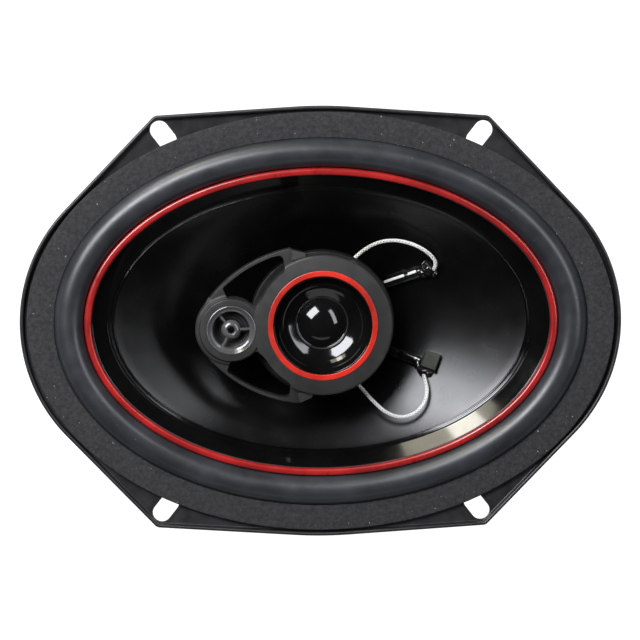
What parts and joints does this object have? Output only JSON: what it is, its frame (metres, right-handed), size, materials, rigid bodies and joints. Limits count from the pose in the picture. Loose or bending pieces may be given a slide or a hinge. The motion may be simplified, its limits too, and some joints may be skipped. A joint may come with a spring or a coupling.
{
  "type": "coaxial car speaker",
  "caption": "Oval coaxial car loudspeaker: steel basket, rubber surround, black cone with red trim, and a central tweeter pod with a small satellite.",
  "frame": {"origin": "centre of the frame's rear mounting plane, on the speaker's axis", "axes": "+Z out of the front along the speaker's axis, +X along the long side, +Y along the short side"},
  "size_m": [0.232, 0.1668, 0.0741],
  "materials": {
    "basket_paint": "satin black paint on stamped steel",
    "gasket_rubber": "textured dark grey foam rubber",
    "surround_rubber": "moulded butyl rubber, satin",
    "cone_black": "glossy black moulded cone",
    "trim_red": "glossy red",
    "ring_red": "satin orange red",
    "glue_black": "set black glue",
    "former_film": "amber film",
    "copper_wire": "enamelled copper wire",
    "spider_cloth": "resin-dipped woven cloth",
    "plated_steel": "zinc-plated steel",
    "ferrite": "ground ferrite",
    "rivet_steel": "bright steel",
    "stem_metal": "turned aluminium",
    "pod_plastic": "fine-textured dark grey moulding",
    "cover_plastic": "satin black moulding",
    "horn_gloss": "glossy black moulding",
    "dome_film": "glossy black film",
    "tweeter_rubber": "soft black rubber",
    "neodymium": "nickel-plated neodymium",
    "capacitor_sleeve": "dark blue shrink sleeve",
    "piezo_brass": "brass disc with a ceramic face",
    "paper_film": "black film",
    "phenolic": "brown phenolic board",
    "tinned_brass": "tinned brass",
    "braid": "tinned copper braid"
  },
  "bodies": {
    "frame": {"basket": "basket_paint", "basket_rivets": "rivet_steel", "front_gasket": "gasket_rubber", "surround": "surround_rubber", "spider": "spider_cloth", "top_plate": "plated_steel", "ferrite_magnet": "ferrite", "back_plate_and_pole": "plated_steel", "pod_bolt": "rivet_steel", "pod_stem": "stem_metal", "stem_nut": "rivet_steel", "pod_housing": "pod_plastic", "pod_rear_cover": "cover_plastic", "tweeter_trim_ring": "ring_red", "tweeter_waveguide": "horn_gloss", "tweeter_surround": "tweeter_rubber", "tweeter_pole_plate": "plated_steel", "tweeter_magnet": "neodymium", "tweeter_cup": "plated_steel", "crossover_capacitor": "capacitor_sleeve", "supertweeter_grille": "horn_gloss", "satellite_cap": "cover_plastic", "terminal_board": "phenolic", "terminal_rivets": "rivet_steel", "positive_terminal": "tinned_brass", "negative_terminal": "tinned_brass", "upper_front_lead": "braid", "lower_front_lead": "braid", "positive_rear_lead": "braid", "negative_rear_lead": "braid"},
    "cone_assembly": {"cone": "cone_black", "cone_trim_ring": "trim_red", "upper_lead_joint": "glue_black", "lower_lead_joint": "glue_black", "upper_coil_lead": "glue_black", "lower_coil_lead": "glue_black", "voice_coil_former": "former_film", "voice_coil_winding": "copper_wire"},
    "tweeter_dome_assembly": {"tweeter_dome": "dome_film", "tweeter_voice_coil": "copper_wire"},
    "supertweeter_motor": {"supertweeter_diaphragm": "paper_film", "piezo_element": "piezo_brass"}
  },
  "joints": [
    {"name": "cone_travel", "type": "slide", "parent": "frame", "child": "cone_assembly", "axis": [0, 0, 1], "range_m": [-0.004, 0.004], "stiffness_N_per_m": 3000, "deforming": ["surround", "spider", "upper_front_lead", "lower_front_lead", "positive_rear_lead", "negative_rear_lead"]},
    {"name": "tweeter_dome_travel", "type": "slide", "parent": "frame", "child": "tweeter_dome_assembly", "axis": [0, 0, 1], "range_m": [-0.0003, 0.0003], "stiffness_N_per_m": 5000, "deforming": ["tweeter_surround"]},
    {"name": "supertweeter_travel", "type": "slide", "parent": "frame", "child": "supertweeter_motor", "axis": [0, 0, 1], "range_m": [-0.0001, 0.0001], "stiffness_N_per_m": 8000}
  ]
}
